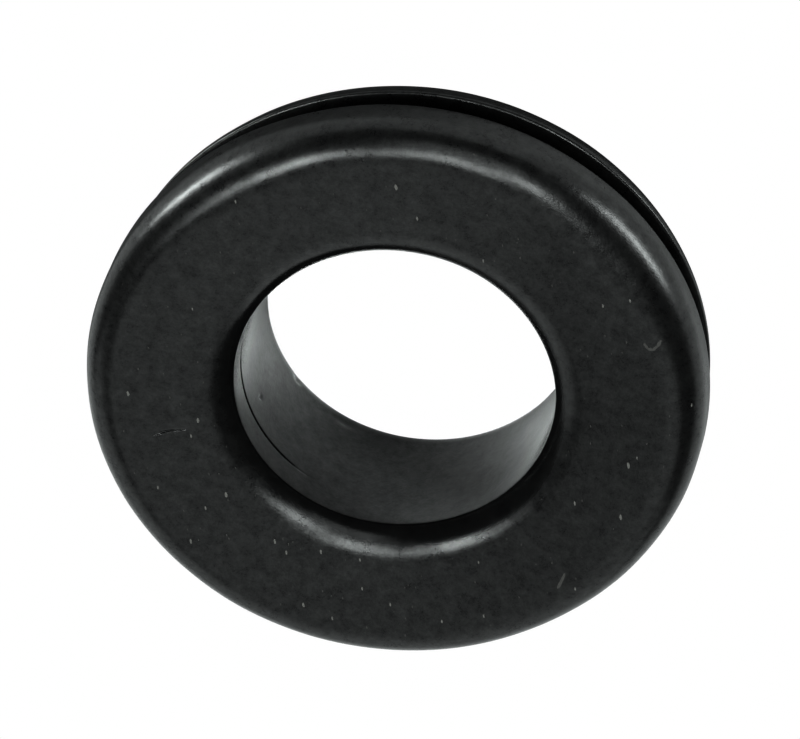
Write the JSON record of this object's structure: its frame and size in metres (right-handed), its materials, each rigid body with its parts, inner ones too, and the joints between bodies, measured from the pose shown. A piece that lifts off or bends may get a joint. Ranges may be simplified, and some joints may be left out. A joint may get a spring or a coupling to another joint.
{
  "type": "grommet",
  "caption": "Round open rubber grommet with a panel groove between two flanges, a tapered rear flange and a straight cable hole with rounded lips.",
  "frame": {"origin": "centre of the rear face, at the narrow end of the rear flange's taper, on which the ring lies", "axes": "+Z along the bore axis, from the rear face towards the front flange; X and Y are any two directions across the ring"},
  "size_m": [0.025, 0.025, 0.0084],
  "materials": {
    "rubber": "satin black moulded rubber with a fine grain"
  },
  "bodies": {
    "root": {"grommet": "rubber"}
  },
  "joints": []
}
